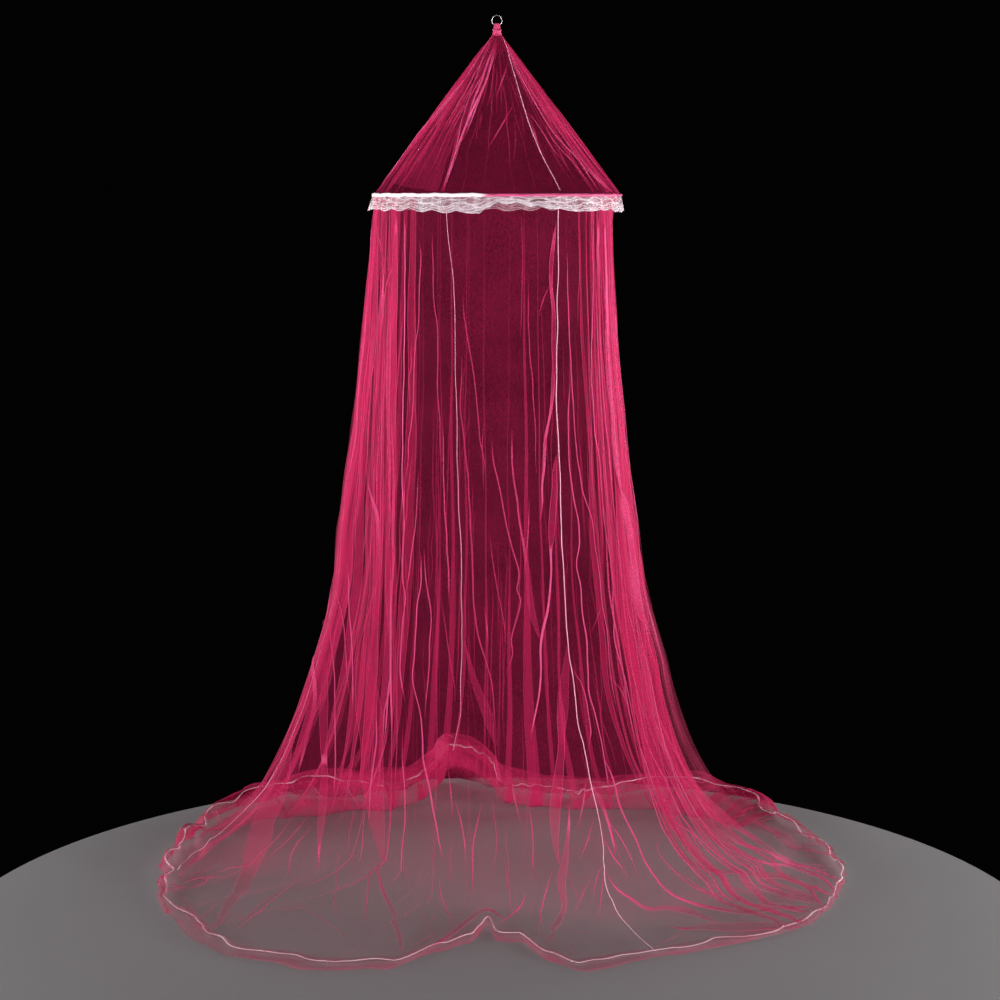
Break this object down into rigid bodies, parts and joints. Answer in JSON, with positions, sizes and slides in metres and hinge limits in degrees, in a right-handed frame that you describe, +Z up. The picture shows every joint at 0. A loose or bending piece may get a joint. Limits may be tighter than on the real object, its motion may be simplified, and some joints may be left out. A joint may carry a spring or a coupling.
{
  "type": "mosquito net canopy with hoop",
  "caption": "Round hanging bed canopy of sheer pink net: gathered cone roof, hoop with white lace frill, and a long skirt that falls into a train on the floor.",
  "frame": {"origin": "the point of the ring that the ceiling hook carries, on the canopy's middle line", "axes": "+Z up along the canopy's middle line, -Y towards the front, +X to the right as seen from the front"},
  "size_m": [1.7344, 1.5014, 2.1266],
  "materials": {
    "ring": "thin bright wire, closed into a ring",
    "net": "sheer hot-pink polyester net with overlocked seams",
    "tape": "matt pink tape sewn round the hoop's rod",
    "lace": "knitted white lace with a smooth heading and a scalloped edge"
  },
  "bodies": {
    "root": {"hanging_ring": "ring", "neck_gather": "net", "roof_net": "net", "hoop": "tape", "frill_heading": "lace", "lace_frill": "lace", "skirt_net": "net"}
  },
  "joints": []
}
